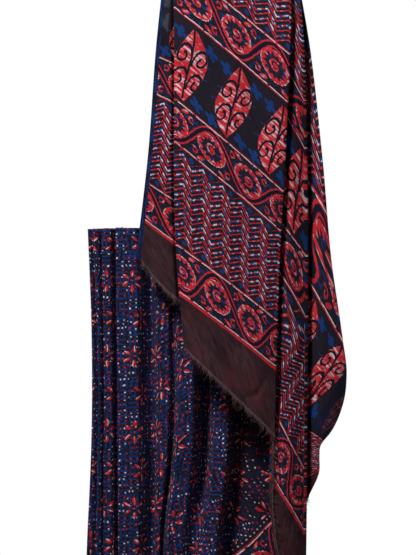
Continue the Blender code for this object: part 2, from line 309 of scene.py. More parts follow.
def pleat_line(station, widths):
    """The upright line of cloth at a station of the knife pleats, its top edge rolled to the back."""
    below = widths - ROLL_RADIUS * math.pi
    rolled = np.clip(-below, 0, None) / ROLL_RADIUS
    z = WAIST_Z - ROLL_RADIUS * (1 - np.sin(rolled)) - np.clip(below, 0, None)
    xs = [line_x(points, z) for _, points in PLEAT_LINES]
    front = cowl_y(xs[-2] + 0.006, z)
    ys = [y + 0 * z for y in PLEAT_LAYER_Y] + [front]
    x, y = folded(station, xs, ys)
    kind, layer, part = station
    if kind == "layer" and layer % 2 == 1 and layer < len(PLEAT_LINES) - 2:
        y = y + PLEAT_DIP * ease(part * 1.3)
    if kind == "layer" and layer == len(PLEAT_LINES) - 2:
        y = cowl_y(x, z) * ease(4 * part) + front * (1 - ease(4 * part))
    for edge, deep, wide in PLEAT_GROOVES:
        if layer < edge - 1:
            behind = (layer + 1) / (edge - 1)
            y = y + deep * behind * np.exp(-(((x - line_x(PLEAT_LINES[edge][1], z)) / wide) ** 2))
    y = y + ROLL_RADIUS * (1 - np.cos(rolled))
    tops = PLEAT_TOPS if kind == "layer" else np.convolve(PLEAT_TOPS, (0.5, 0.5))[1:]
    z = z + tops[layer] * ease(1 - widths / 0.1)
    return np.stack([x, y, z], 1)


def edge_point(part, edge):
    """x and z of a selvage of the fan."""
    return [along([row[k] for row in edge], [row[0] for row in edge], part) for k in (1, 2)]


def hanging_fold(columns):
    """x and y of the stations where the pallu starts to fall from the fold that it hangs by."""
    return np.array([pallu_xy(station, np.array(-HANG_RADIUS)) for station in columns])


def fan_line(part, columns, widths):
    """The line of cloth across the fan, part of the way from the pleats to the hanging fold."""
    share = widths / CLOTH_WIDTH
    x, z = (a + (b - a) * share for a, b in zip(edge_point(part, INNER_EDGE), edge_point(part, OUTER_EDGE)))
    top = hanging_fold(columns)
    gather = ease((part - GATHER_START) / (1 - GATHER_START)) ** 1.5
    layered = ease((part - LAYER_START) / (LAYER_STOP - LAYER_START))
    middles = [widths[[k for k, row in enumerate(columns) if row[:2] == ("layer", layer)]].mean()
               for layer in range(len(PALLU_LAYERS))]
    rounded = along([row[0] for row in PALLU_LAYERS], middles, widths)
    depth = HANG_RADIUS + rounded + (top[:, 1] - rounded) * ease(gather)
    back = HANG_RADIUS - depth * (1 + LAYER_SPREAD * (1 - gather))
    y = cowl_y(x, z) * (1 - layered) + back * layered
    return np.stack([x + (top[:, 0] - x) * gather, y, z], 1)


def hang_line(turn, columns):
    """The line of cloth across the fold it hangs by, at an angle from the back (0) to the front (pi)."""
    top = hanging_fold(columns)
    radius = -top[:, 1]
    return np.stack([top[:, 0], radius * math.cos(turn), -HANG_RADIUS + radius * math.sin(turn)], 1)


def ripple(a, b, waves):
    """A sum of soft waves over (a, b), from rows of (wavelength, direction in degrees, height, phase)."""
    total = 0.0 * a
    for wavelength, degrees, height, phase in waves:
        turn = math.radians(degrees)
        place = a * math.cos(turn) + b * math.sin(turn)
        total = total + height * np.sin(2 * math.pi * place / wavelength + phase)
    return total


GROOVE_DEPTH = 0.020  # all the pallu's layers fall back together along the right panel's edge
GROOVE_WIDTH = (0.048, 0.026)  # to the left and the right of it


def groove(x, z):
    """How far back the pallu's layers fall towards the right panel's edge."""
    middle = line_x(PALLU_LINES[5][2], z) + 0.002
    away = np.where(x < middle, (middle - x) / GROOVE_WIDTH[0], (x - middle) / GROOVE_WIDTH[1])
    return GROOVE_DEPTH * (1 - ease(away)) * ease((-z - 0.20) / 0.25)


# Creases in the middle panel's end: x and z of both ends, depth, half width
CREASES = (
    ((0.065, -0.812), (0.049, -0.839), 0.0030, 0.0035),
    ((0.049, -0.839), (0.024, -0.847), 0.0026, 0.0035),
    ((-0.042, -0.700), (0.014, -0.754), 0.0016, 0.0040),
    ((-0.060, -0.690), (-0.015, -0.770), 0.0014, 0.0060),
    ((0.030, -0.760), (0.070, -0.820), 0.0014, 0.0050),
    ((-0.030, -0.730), (0.030, -0.800), -0.0012, 0.0050),
    ((-0.150, -0.560), (-0.118, -0.600), 0.0014, 0.0050),
    ((-0.140, -0.520), (-0.112, -0.575), -0.0012, 0.0050),
)


def creases(x, z):
    """How far back the creases fall."""
    total = 0.0 * x
    for (x0, z0), (x1, z1), depth, width in CREASES:
        long = math.hypot(x1 - x0, z1 - z0)
        along_x, along_z = (x1 - x0) / long, (z1 - z0) / long
        place = np.clip((x - x0) * along_x + (z - z0) * along_z, 0, long)
        off = np.hypot(x - x0 - place * along_x, z - z0 - place * along_z)
        total = total + depth * np.exp(-((off / width) ** 2))
    return total


# Soft waves in the hanging cloth: wavelength, direction in degrees from +x, height and phase
PALLU_WAVES = (
    (0.190, 3, 0.0022, 0.4),
    (0.083, -5, 0.0011, 2.1),
    (0.140, 62, 0.0010, 1.0),
    (0.047, 12, 0.0005, 4.0),
    (0.260, 80, 0.0016, 2.6),
)
BODY_WAVES = (
    (0.036, 6, 0.0009, 0.7),
    (0.061, -9, 0.0013, 3.1),
    (0.110, 48, 0.0014, 1.9),
    (0.170, 75, 0.0012, 5.0),
    (0.029, 24, 0.0004, 2.2),
)


def edge_jitter(u):
    """The uneven cut of the pallu's end edge, along the cloth's width."""
    return ripple(u, 0 * u, ((0.031, 0, 0.0012, 0.3), (0.0127, 0, 0.0008, 1.2), (0.0071, 0, 0.0005, 2.0)))


# Low down the right-hand panels hang on the bias, so the print drifts across them: layer, drift for each
# metre down, the depth it begins at, and how much less print there is across the layer there.
PRINT_DRIFT = ((4, 0.65, 0.706, 0.070), (6, 0.50, 0.602, 0.055))


def print_u(station, below):
    """How far across the print a station is at depths below the top."""
    starts = np.concatenate([[0], np.cumsum(LAYER_WIDTHS)])
    u = between_lines(station, starts) + 0 * below
    kind, layer, part = station
    for drifting, rate, start, less in PRINT_DRIFT:
        if (kind, layer) == ("layer", drifting):
            past = below - start
            u = u + rate * (past + np.sqrt(past * past + 0.002)) / 2 - less * part * ease(past / 0.12 + 0.5)
    return u


def print_v(station, depth_below):
    """How far up the print from the pallu's end edge the cloth is, at depths below the top."""
    depths, heights = [end_edge(station)], [0.0]
    for _, height, rows in BANDS:
        if rows:
            depths.append(between_lines(station, rows))
            heights.append(height)
    return np.interp(-depth_below, -np.array(depths), heights)


# Where panels go behind a panel's edge they fall back: number of its line, the first and last layer that do
# so, depth, width, and how far below the top this ends.
FOLD_FALLS = (
    (2, 0, 0, 0.012, 0.0036, 1.2),
    (3, 4, 6, 0.016, 0.0085, 0.86),
    (5, 6, 6, 0.010, 0.0045, 1.3),
)


def fold_fall(station, x, z):
    """How far back a station of the pallu falls beside the panel edges in front of it."""
    kind, layer, _ = station
    total = 0.0 * x
    for number, first, last, depth, width, stop in FOLD_FALLS:
        if first <= layer and layer + (kind == "turn") <= last:
            off = (x - line_x(PALLU_LINES[number][2], z)) / width
            total = total + depth * np.exp(-off * off) * (1 - ease((-z - stop) / 0.08))
    return total


def pallu_grid(columns, widths):
    """The pallu piece's points and print coordinates, from the top of the fan to the end edge."""
    count = len(columns)
    back = [fan_line(PIECE_SPLIT + (1 - PIECE_SPLIT) * k / SPLIT_STEPS, columns, widths)
            for k in range(SPLIT_STEPS + 1)]
    back += [hang_line(math.pi * k / HANG_STEPS, columns) for k in range(1, HANG_STEPS)]
    back = np.array(back)
    front = np.empty((PALLU_STEPS + 1, count, 3))
    u, v, free = np.empty((3, PALLU_STEPS + 1, count))
    cut = edge_jitter(np.array([print_u(station, 0.0) for station in columns]))
    for column, station in enumerate(columns):
        end = end_edge(station)
        rows = np.linspace(0, 1, PALLU_STEPS + 1)
        below = HANG_RADIUS + rows * (end + cut[column] * rows ** 40 - HANG_RADIUS)
        x, y = pallu_xy(station, -below)
        free[:, column] = ease((below - HANG_RADIUS) / 0.15)
        front[:, column] = np.stack([x, y + fold_fall(station, x, -below) * free[:, column], -below], 1)
        u[:, column] = print_u(station, below)
        v[:, column] = print_v(station, below)
    front[..., 1] += ripple(front[..., 0], front[..., 2], PALLU_WAVES) * free
    front[..., 1] += groove(front[..., 0], front[..., 2]) + creases(front[..., 0], front[..., 2])
    points = np.concatenate([back, front])
    reach = run_along(points[: len(back) + 1])
    share = reach / reach[-1]
    v_back = BANDS[-1][1] + (np.minimum(v[0], BANDS[-1][1] - 0.002) - BANDS[-1][1]) * share
    v = np.concatenate([v_back[:-1], v])
    u = np.concatenate([np.broadcast_to(u[0], (len(back), count)), u])
    return points, np.stack([u, v], -1)


ARC_X = np.linspace(-0.30, 0.24, 541)
ARC_Z = np.linspace(0.0, -1.66, 167)


def cowl_arc(x, z):
    """How far from the end of the pleats the cloth is, measured over the cowl folds at its height."""
    grid_x, grid_z = np.meshgrid(ARC_X, ARC_Z)
    depth = cowl_y(grid_x, grid_z)
    steps = np.hypot(np.diff(grid_x, axis=1), np.diff(depth, axis=1))
    arc = np.concatenate([np.zeros((len(ARC_Z), 1)), np.cumsum(steps, axis=1)], axis=1)
    arc = arc - np.array([np.interp(SWAG_X, ARC_X, row) for row in arc])[:, None]
    column = np.clip((x - ARC_X[0]) / (ARC_X[1] - ARC_X[0]), 0, len(ARC_X) - 1.001)
    row = np.clip((z - ARC_Z[0]) / (ARC_Z[1] - ARC_Z[0]), 0, len(ARC_Z) - 1.001)
    c, r = column.astype(int), row.astype(int)
    fc, fr = column - c, row - r
    upper = arc[r, c] * (1 - fc) + arc[r, c + 1] * fc
    lower = arc[r + 1, c] * (1 - fc) + arc[r + 1, c + 1] * fc
    return upper * (1 - fr) + lower * fr


BORDER_BEND = 0.33  # the part of the fan from where the border is drawn straight on, and its direction there
BORDER_SLOPE = (0.69, 0.72)
BORDER_STEADY = 41  # its direction is the middle of this many lines of cloth
SLANT = 0.5  # the print slopes down to the right by this where the cloth hangs on the bias
SLANT_SPAN = (0.02, 0.13)  # over this stretch of cloth, from the end of the pleats


def body_grid(columns, widths):
    """The body piece's points, its print coordinates and its border coordinates."""
    pleats = np.array([pleat_line(station, widths) for station in stations(PLEAT_LAYER_STEPS, TURN_STEPS)])
    fan = np.array([fan_line(PIECE_SPLIT * k / FAN_STEPS, columns, widths)
                    for k in range(1, FAN_STEPS + 1)])
    reach = run_along(pleats[..., :2])
    p = np.concatenate([reach - reach[-1], cowl_arc(fan[..., 0], fan[..., 2])])
    points = np.concatenate([pleats, fan])
    q = points[..., 2] - SLANT * (np.clip(p, *SLANT_SPAN) - SLANT_SPAN[0])
    outer = points[:, -1, ::2].copy()
    run = run_along(points[:, -1])
    bend = len(pleats) + round(BORDER_BEND * FAN_STEPS / PIECE_SPLIT)
    outer[bend:] = outer[bend] + np.outer(run[bend:] - run[bend], BORDER_SLOPE)
    tangent = np.gradient(outer, axis=0)
    tangent[: len(pleats)] = (1, 0)
    steady = np.ones(BORDER_STEADY) / BORDER_STEADY
    padded = np.pad(tangent, ((BORDER_STEADY // 2,) * 2, (0, 0)), mode="edge")
    tangent = np.stack([np.convolve(padded[:, k], steady, mode="valid")[: len(points)] for k in (0, 1)], 1)
    tangent /= np.linalg.norm(tangent, axis=1, keepdims=True)
    from_edge = points[..., ::2] - outer[:, None]
    from_edge[: len(pleats), :, 0] = 0
    beside = run[:, None] + (from_edge * tangent[:, None]).sum(-1)
    apart = np.abs(from_edge[..., 0] * tangent[:, None, 1] - from_edge[..., 1] * tangent[:, None, 0])
    part = (np.arange(len(points)) - len(pleats)) / FAN_STEPS * PIECE_SPLIT
    behind = ease((part - 0.54) / 0.12)[:, None]
    apart = apart * (1 - behind) + (CLOTH_WIDTH - widths) * behind
    swing = ease((points[..., 0] - SWAG_X + 0.06) / 0.04) * ease((WAIST_Z - points[..., 2]) / 0.15)
    points[..., 1] += ripple(p, points[..., 2], BODY_WAVES) * (0.35 + 0.65 * swing) * ease(widths / 0.03)
    return points, np.stack([p, q], -1), np.stack([beside, apart], -1)


def grid_faces(rows, count):
    """Faces between neighbouring lines of points."""
    corner = np.arange(rows * count).reshape(rows, count)
    return np.stack([corner[:-1, :-1], corner[:-1, 1:], corner[1:, 1:], corner[1:, :-1]], -1).reshape(-1, 4)


def linked(name, data):
    """A new object in the scene."""
    thing = bpy.data.objects.new(name, data)
    bpy.context.scene.collection.objects.link(thing)
    return thing


def cloth_piece(name, points, faces, material, maps):
    """A piece of cloth from points, faces and named print maps of two numbers for each point."""
    mesh = bpy.data.meshes.new(name)
    mesh.vertices.add(len(points))
    mesh.vertices.foreach_set("co", points.astype(np.float32).reshape(-1))
    mesh.loops.add(faces.size)
    mesh.loops.foreach_set("vertex_index", faces.astype(np.int32).reshape(-1))
    mesh.polygons.add(len(faces))
    mesh.polygons.foreach_set("loop_start", np.arange(0, faces.size, 4, dtype=np.int32))
    mesh.update(calc_edges=True)
    mesh.shade_smooth()
    used = np.empty(len(mesh.loops), np.int32)
    mesh.loops.foreach_get("vertex_index", used)
    for map_name, values in maps.items():
        values = values.reshape(-1, 2)[used].astype(np.float32)
        mesh.uv_layers.new(name=map_name).data.foreach_set("uv", values.reshape(-1))
    mesh.materials.append(material)
    piece = linked(name, mesh)
    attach(piece, "root")
    return piece


# Patterns: numbers that vary over the cloth


def operator(operation, turned=False):
    """A Field's method for one of Python's operators; turned takes the other value first."""
    def act(self, other):
        return maths(operation, other, self) if turned else maths(operation, self, other)
    return act


class Field:
    """A number that varies over the cloth, as a node's output, with arithmetic."""

    tree = None

    def __init__(self, socket):
        self.socket = socket

    def __neg__(self):
        return maths("MULTIPLY", self, -1.0)

    def __abs__(self):
        return maths("ABSOLUTE", self)

    __add__ = operator("ADD")
    __radd__ = operator("ADD", turned=True)
    __sub__ = operator("SUBTRACT")
    __rsub__ = operator("SUBTRACT", turned=True)
    __mul__ = operator("MULTIPLY")
    __rmul__ = operator("MULTIPLY", turned=True)
    __truediv__ = operator("DIVIDE")
    __gt__ = operator("GREATER_THAN")
    __lt__ = operator("LESS_THAN")


def new_node(kind, **settings):
    node = Field.tree.nodes.new(kind)
    for name, value in settings.items():
        setattr(node, name, value)
    return node


def feed(socket, value):
    if isinstance(value, Field):
        Field.tree.links.new(value.socket, socket)
    else:
        socket.default_value = value


def maths(operation, *values, clamp=False):
    node = new_node("ShaderNodeMath", operation=operation, use_clamp=clamp)
    for socket, value in zip(node.inputs, values):
        feed(socket, value)
    return Field(node.outputs[0])


power = partial(maths, "POWER")
sine = partial(maths, "SINE")
cosine = partial(maths, "COSINE")
angle_of = partial(maths, "ARCTAN2")
fraction = partial(maths, "FRACT")
whole = partial(maths, "FLOOR")
least = partial(maths, "MINIMUM")
most = partial(maths, "MAXIMUM")
either = most  # of two masks


def length(a, b):
    return maths("SQRT", a * a + b * b)


def inside(distance, soft=0.0005):
    """1 where a distance in metres is below 0 and 0 where it is above, with a soft edge."""
    return maths("MULTIPLY_ADD", distance, -1.0 / soft, 0.5, clamp=True)


def band(value, low, high, soft=0.0005):
    """1 between two values."""
    return inside(most(low - value, value - high), soft)


def line(distance, width, soft=0.0005):
    """1 along a line, for the distance from its middle."""
    return inside(abs(distance) - width / 2, soft)


def without(a, b):
    return maths("MULTIPLY", a, 1.0 - b)


def blend(a, b, part):
    return a + (b - a) * part


def wave_step(value):
    """1 to 0 and back to 1 over each whole number."""
    return abs(fraction(value) - 0.5) * 2.0


def from_repeat(value, pitch, phase=0.5):
    """How far a value is from its nearest repeat: at whole pitches, or halfway between for a phase of 0."""
    return (fraction(value / pitch + phase) - 0.5) * pitch


def map_of(name):
    """The two numbers of a named map of the cloth."""
    uv = new_node("ShaderNodeUVMap", uv_map=name)
    split = new_node("ShaderNodeSeparateXYZ")
    Field.tree.links.new(uv.outputs[0], split.inputs[0])
    return Field(split.outputs[0]), Field(split.outputs[1])


def noise(a, b, across_scale, up_scale, detail, seed):
    """Cloudy noise from 0 to 1, its cells sized by a scale per metre each way."""
    place = new_node("ShaderNodeCombineXYZ")
    feed(place.inputs[0], a * across_scale)
    feed(place.inputs[1], b * up_scale)
    place.inputs[2].default_value = seed
    cloud = new_node("ShaderNodeTexNoise", noise_dimensions="3D")
    cloud.inputs["Scale"].default_value = 1.0
    cloud.inputs["Detail"].default_value = detail
    Field.tree.links.new(place.outputs[0], cloud.inputs["Vector"])
    return Field(cloud.outputs["Fac"])


def above(value, level, soft=0.04):
    """1 where a noise is above a level."""
    return maths("MULTIPLY_ADD", value - level, 1.0 / soft, 0.5, clamp=True)


def linear(colour):
    """A display colour of 0 to 255 as linear light."""
    shares = [c / 255 for c in colour]
    return tuple(c / 12.92 if c <= 0.04045 else ((c + 0.055) / 1.055) ** 2.4 for c in shares)


class Paint:
    """Dyes laid on one another."""

    def __init__(self, dye):
        self.first = dye
        self.socket = None

    def lay(self, dye, mask):
        mix = new_node("ShaderNodeMix", data_type="RGBA")
        feed(mix.inputs["Factor"], mask)
        if self.socket is None:
            mix.inputs[6].default_value = (*linear(DYES[self.first]), 1.0)
        else:
            Field.tree.links.new(self.socket, mix.inputs[6])
        mix.inputs[7].default_value = (*linear(DYES[dye]), 1.0)
        self.socket = mix.outputs[2]

    def part(self, area):
        """A function that lays a dye in one area only."""
        return lambda dye, mask: self.lay(dye, mask * area)


# The dyes, and the pale grey of painted light showing through the cloth, as display colours
DYES = {
    "ground": (38, 32, 43),
    "end": (57, 35, 41),
    "worn end": (82, 54, 60),
    "stain": (98, 40, 44),
    "thread": (112, 86, 90),
    "red": (208, 44, 54),
    "white": (242, 224, 228),
    "blue": (24, 60, 124),
    "body blue": (24, 58, 122),
    "navy": (22, 23, 42),
    # painted light: the pale grey of light from behind showing through a single layer of cloth
    "painted_backlight": (70, 72, 78),
    "black": (22, 18, 28),
}

SCROLL_PITCH = 0.0712
SCROLL_HEIGHT = 0.088
VINE_REACH = 0.0355
VINE_WIDTH = 0.0050
LEAF_PITCH = 0.083
LEAF_START = MIDDLE_PANEL_U + 0.0245
ZIGZAG_PITCH = 0.0383
ZIGZAG_RISE = 0.0195
ZIGZAG_REPEAT = 0.0180


RAGGED_SLOW = 130.0  # waves a metre
RAGGED_FINE = 480.0


def ragged(u, v, amount):
    """The print's coordinates with the uneven edges of a block print."""
    def drift(seed):
        slow = (noise(u, v, RAGGED_SLOW, RAGGED_SLOW, 1, seed) - 0.5) * (2.4 * amount)
        return slow + (noise(u, v, RAGGED_FINE, RAGGED_FINE, 1, seed + 5) - 0.5) * amount

    across_drift, up_drift = drift(3.0), drift(13.0)
    return u + across_drift, v + up_drift


def spiral(x, y, start, turns, radius, pitch, width):
    """A winding line from a radius inwards, its start at an angle given as a part of a turn."""
    r = length(x, y)
    phase = fraction(angle_of(y, x) * (0.5 / math.pi) + (2.0 - start))
    wound = (radius - r) / pitch - phase
    arm = whole(wound + 0.5)
    reached = arm + phase
    return line((wound - arm) * pitch, width) * (reached > 0.0) * (reached < turns)


RING_OUTER = 0.0262
RING_INNER = 0.0226
RING_TOOTH = 0.0062
RING_TEETH = 13


def lay_scroll(lay, x, h, dry):
    """A running vine with a toothed ring and spiral in each bend. x runs along it, h up from its foot."""
    cell = whole(x / SCROLL_PITCH + 0.5)
    side = 1.0 - (fraction(cell * 0.5 + 0.01) > 0.25) * 2.0
    xl = (x - cell * SCROLL_PITCH) * side
    yl = (h - SCROLL_HEIGHT / 2) * side
    bend = xl * (math.pi / SCROLL_PITCH)
    steep = sine(bend) * (VINE_REACH * math.pi / SCROLL_PITCH)
    from_vine = (yl - cosine(bend) * VINE_REACH) / maths("SQRT", steep * steep + 1.0)
    r = length(xl, yl)
    angle = angle_of(yl, xl)
    teeth = power(wave_step(angle * (RING_TEETH / 2 / math.pi) + 0.25), 1.3) * RING_TOOTH
    ring = band(r, RING_INNER - RING_TOOTH + teeth, RING_OUTER + 0.0006)
    arm = spiral(xl, yl, 0.15, 1.35, 0.0105, 0.0066, 0.0034)
    eye = inside(r - 0.0026)
    corner_x = abs(xl) - 0.0330
    corner_y = yl + 0.0265
    rc = length(corner_x, corner_y)
    curl = spiral(corner_x, corner_y, 0.9, 1.2, 0.0088, 0.0058, 0.0030)
    leaflet = inside(length((abs(xl) - 0.0205) * 0.50, yl + 0.0330 + (abs(xl) - 0.0205) * 0.40) - 0.0036)
    vine = line(from_vine, VINE_WIDTH)
    hollow = inside(r - RING_INNER)
    from_edge = least(h, SCROLL_HEIGHT - h)
    rail = inside(from_edge - 0.0030)
    rail_dash = band(from_edge, 0.0024, 0.0040)
    rail_blue = band(from_edge, 0.0042, 0.0066)
    blot = above(noise(x, h, 150, 150, 1, 31), 0.58)
    fleck = above(noise(x, h, 240, 240, 1, 37), 0.55)
    ring_edge = line(r - RING_OUTER, 0.0016)
    lay("blue", blot * 0.8)
    reds = either(either(ring, arm * hollow), either(either(curl * inside(rc - 0.0105), leaflet), eye))
    reds = without(reds, vine)
    lay("red", reds)
    lay("white", either(reds * dry * 0.6, without(ring_edge * fleck, vine)) * 0.85)
    lay("navy", either(vine, rail_blue * 0.8))
    outer_edge = line(abs(from_vine) - (VINE_WIDTH / 2 + 0.0016), 0.0024)
    lay("red", either(without(outer_edge, hollow), rail))
    broken = above(noise(x, h, 90, 60, 1, 5), 0.40)
    lay("white", rail_dash * broken)


ZIGZAG_RISING = 0.58  # the part of each zigzag that rises


def lay_herringbone(lay, u, h, height, dry):
    """Zigzag lines along the cloth: plain red ones, and red ones broken by blue bars with a white core."""
    at = fraction(u / ZIGZAG_PITCH)
    rising = at < ZIGZAG_RISING
    up = at / ZIGZAG_RISING
    down = (1.0 - at) / (1.0 - ZIGZAG_RISING)
    zig = blend(down, up, rising)
    raised = h - zig * ZIGZAG_RISE
    part = fraction(raised / ZIGZAG_REPEAT)
    row = whole(raised / ZIGZAG_REPEAT)
    field = band(raised, 0.0, height - ZIGZAG_RISE)
    bar = above(wave_step(zig * 1.6 + row * 0.31 + 0.15), 0.44, 0.12)
    bold = 1.7 - rising * 0.7
    plain = line(part - 0.02, bold * 0.21, 0.05)
    core = line(part - 0.52, bold * 0.14, 0.05)
    body = line(part - 0.52, 0.42, 0.05)
    patchy = above(noise(u, h, 170, 170, 1, 91), 0.36, 0.10)
    pale = above(noise(u, h, 140, 140, 1, 93), 0.47, 0.10)
    lay("red", either(plain, core) * field)
    lay("navy", body * bar * field)
    lay("blue", body * bar * patchy * field)
    lay("white", core * bar * pale * field)
    lay("white", plain * field * dry * 0.4)
    foot_x = from_repeat(u, ZIGZAG_PITCH)
    peak_x = from_repeat(u, ZIGZAG_PITCH, 0.5 - ZIGZAG_RISING)
    top = length(foot_x, h - (height - 0.0095)) - 0.0046
    foot = length(peak_x, h - 0.0090) - 0.0046
    lay("blue", either(inside(top), inside(foot)))


CURL_RADIUS = 0.0165
CURL_PITCH = 0.0098
CURL_LINE = 0.0040


def lay_leaves(lay, u, h, height, dry):
    """Upright leaves with curling veins, and small blue flowers between them."""
    x = u - LEAF_START
    cell = whole(x / LEAF_PITCH + 0.5)
    xl = x - cell * LEAF_PITCH
    up = h - height / 2
    y = up - xl * 0.80
    lean = xl - y * 0.16
    b = (y + 0.0005) / 0.0668
    rib = sine(b * 2.6 + 0.4) * 0.0030
    side_x = lean - rib
    blunt = 2.1 - (b > 0.0) * 0.55
    half = (1.0 - power(abs(b), blunt)) * 0.0335
    leaf = inside(abs(lean) - half)
    reach = abs(side_x)
    left = side_x < 0.0
    level = y - left * 0.0150 + 0.0010
    row = (level < -0.0175) * -1.0
    out = reach - 0.0160 - (1.0 - left) * 0.0030
    yl = level - 0.0035 - row * 0.0425
    tall = 1.0 - (yl > 0.0) * 0.34
    curl = spiral(-out, yl * tall, 0.94, 1.32, CURL_RADIUS - (1.0 - left) * 0.0005, CURL_PITCH, CURL_LINE)
    vein = line(side_x, CURL_LINE) * band(b, -0.93, 1.0, 0.02)
    drawn = either(curl, vein) * leaf
    near = inside(length(out, yl * tall) - 0.0185, 0.004) * (b < 0.62)
    streak = above(noise(u - h * 0.5, h, 30, 200, 1, 41), 0.555, 0.05)
    upper = band(lean + 0.30 * y, 0.002, 0.013, 0.004) * band(b, 0.30, 0.80, 0.1)
    lower = band(lean, -0.018, -0.008, 0.003) * band(b, -0.80, -0.45, 0.1)
    inner = inside(length(out, yl * tall) - 0.0062, 0.001)
    pale = without(either(either(near * 0.8, upper), lower), inner * 0.7)
    lay("red", leaf)
    lay("white", leaf * pale * streak * 0.85)
    lay("white", leaf * dry * 0.25)
    lay("navy", drawn)
    is_up = up > 0.0
    mid = 0.028 + is_up * 0.0267
    flower_x = from_repeat(x - mid, LEAF_PITCH)
    fx = abs(flower_x) - 0.0140
    fy = up - (is_up * 0.1165 - 0.0655) + flower_x * 0.12
    petals = abs(cosine(angle_of(fy, fx) * 2.0 + 0.6))
    flower = inside(length(fx, fy) - 0.0042 - petals * 0.0085)
    spike_y = abs(y + lean * 0.5) - 0.012
    spike = line(spike_y, 0.0016) * band(abs(lean) - half, 0.0, 0.012)
    lay("blue", without(either(flower, spike), leaf))


def material_tree(name):
    material = bpy.data.materials.new(name)
    material.use_nodes = True
    Field.tree = material.node_tree
    return material, material.node_tree.nodes["Principled BSDF"]


CLOTH_ROUGHNESS = 0.85
SHEEN = 0.02
WEAVE_PITCH = 0.0009
WEAVE_DEPTH = 0.00012
SLUB_DEPTH = 0.0026
RUMPLE_DEPTH = 0.0160


def finish_cloth(shader, paint, a, b):
    """Links the print's colour, and the weave and small crumple of the cloth as bump."""
    Field.tree.links.new(paint.socket, shader.inputs["Base Color"])
    shader.inputs["Roughness"].default_value = CLOTH_ROUGHNESS
    shader.inputs["Sheen Weight"].default_value = SHEEN
    shader.inputs["Sheen Roughness"].default_value = 0.5
    shader.inputs["Specular IOR Level"].default_value = 0.12
    weave = sine(a * (2 * math.pi / WEAVE_PITCH)) * sine(b * (2 * math.pi / WEAVE_PITCH)) * WEAVE_DEPTH
    slub = noise(a, b, 70, 40, 3, 51) * SLUB_DEPTH
    rumple = noise(a + b * 0.6, b, 22, 11, 3, 53) * RUMPLE_DEPTH
    bump = new_node("ShaderNodeBump")
    bump.inputs["Strength"].default_value = 0.7
    bump.inputs["Distance"].default_value = 1.0
    feed(bump.inputs["Height"], weave + slub + rumple)
    Field.tree.links.new(bump.outputs[0], shader.inputs["Normal"])


SELVAGE_WIDTH = 0.008
DARK_CORNER_U = 1.0  # past this, the low corner at the right selvage is coloured navy


def pallu_material():
    """The pallu's print: bands of scroll, herringbone and leaves above a plain end."""
    material, shader = material_tree("pallu_print")
    clean_u, clean_v = map_of("PalluPrint")
    u, v = ragged(clean_u, clean_v, 0.0011)
    starts = {name: height for name, height, _ in BANDS}
    stops = {name: above_it[1] for (name, _, _), above_it in zip(BANDS, BANDS[1:])}

    def area_of(name):
        return band(v, starts[name], stops[name])

    cloud = partial(noise, clean_u, clean_v)
    mottle = cloud(20, 20, 3, 2)
    paint = Paint("ground")
    lay = paint.lay
    lay("black", above(mottle, 0.55, 0.3) * 0.5)
    plain = band(v, -1.0, starts["scroll 3"])
    lay("end", plain)
    lay("worn end", plain * above(mottle, 0.5, 0.2) * 0.8)
    smear = noise(clean_u + clean_v * 0.7, clean_v, 90, 60, 3, 6)
    lay("black", plain * above(smear, 0.54, 0.2) * 0.5)
    lay("stain", plain * above(cloud(16, 16, 3, 7), 0.56, 0.1) * 0.35)
    lay("thread", clean_v < 0.0020)
    dry = above(cloud(120, 120, 2, 61), 0.60, 0.08)
    dry_fine = above(cloud(340, 340, 1, 71), 0.56, 0.10)
    dry = either(dry * 0.8, dry * dry_fine)
    scrolls = (("scroll 3", 0.0784), ("scroll 2", 0.0680), ("scroll 1", 0.0395), ("scroll 0", 0.0500))
    scroll_area, x, h = 0.0, u * 0.0, v * 0.0
    for name, start in scrolls:
        area = area_of(name)
        scroll_area = area + scroll_area
        x = x + area * (u - MIDDLE_PANEL_U - start + 4 * SCROLL_PITCH)
        h = h + area * (v - starts[name]) * (SCROLL_HEIGHT / (stops[name] - starts[name]))
    lay_scroll(paint.part(scroll_area), x, h, dry)
    bone_area, h = 0.0, v * 0.0
    bone_height = stops["herringbone 2"] - starts["herringbone 2"]
    for name in ("herringbone 2", "herringbone 1"):
        area = area_of(name)
        bone_area = area + bone_area
        h = h + area * (v - starts[name])
    lay_herringbone(paint.part(bone_area), u, h, bone_height, dry)
    leaf_height = stops["leaves"] - starts["leaves"]
    lay_leaves(paint.part(area_of("leaves")), u, v - starts["leaves"], leaf_height, dry)
    lay("red", line(v - starts["scroll 3"] + 0.001, 0.0048))
    selvage = inside(clean_u - SELVAGE_WIDTH)
    streaks = above(cloud(420, 30, 2, 81), 0.52, 0.1)
    lay("navy", selvage)
    lay("blue", selvage * streaks * 0.8)
    dark_corner = above(clean_u, DARK_CORNER_U, 0.012) * inside(starts["leaves"] - v, 0.004)
    lay("navy", dark_corner * 0.9)
    # painted light: a pale grey strip beside the left selvage, where light from behind shows through the
    # single layer of cloth
    painted_backlight = band(clean_u, SELVAGE_WIDTH, SELVAGE_WIDTH + 0.011, 0.002) * band(v, starts["leaves"] + 0.03, 2.0)
    lay("painted_backlight", painted_backlight * above(cloud(40, 26, 1, 83), 0.47, 0.05) * 0.8)
    finish_cloth(shader, paint, clean_u, clean_v)
    return material


CELL = 0.0233  # of the body print's woven-looking blocks
BODY_PRINT_PLACE = (0.050, 0.6310)
FLOWER_EVERY = 3  # blocks
BAR_WIDTH = 0.0036
DOT_RADIUS = 0.0017
PETALS = 6
PETAL_MIDDLE = 0.0145
PETAL_HALF = (0.0078, 0.0034)
BORDER_DOT_PITCH = 0.0085


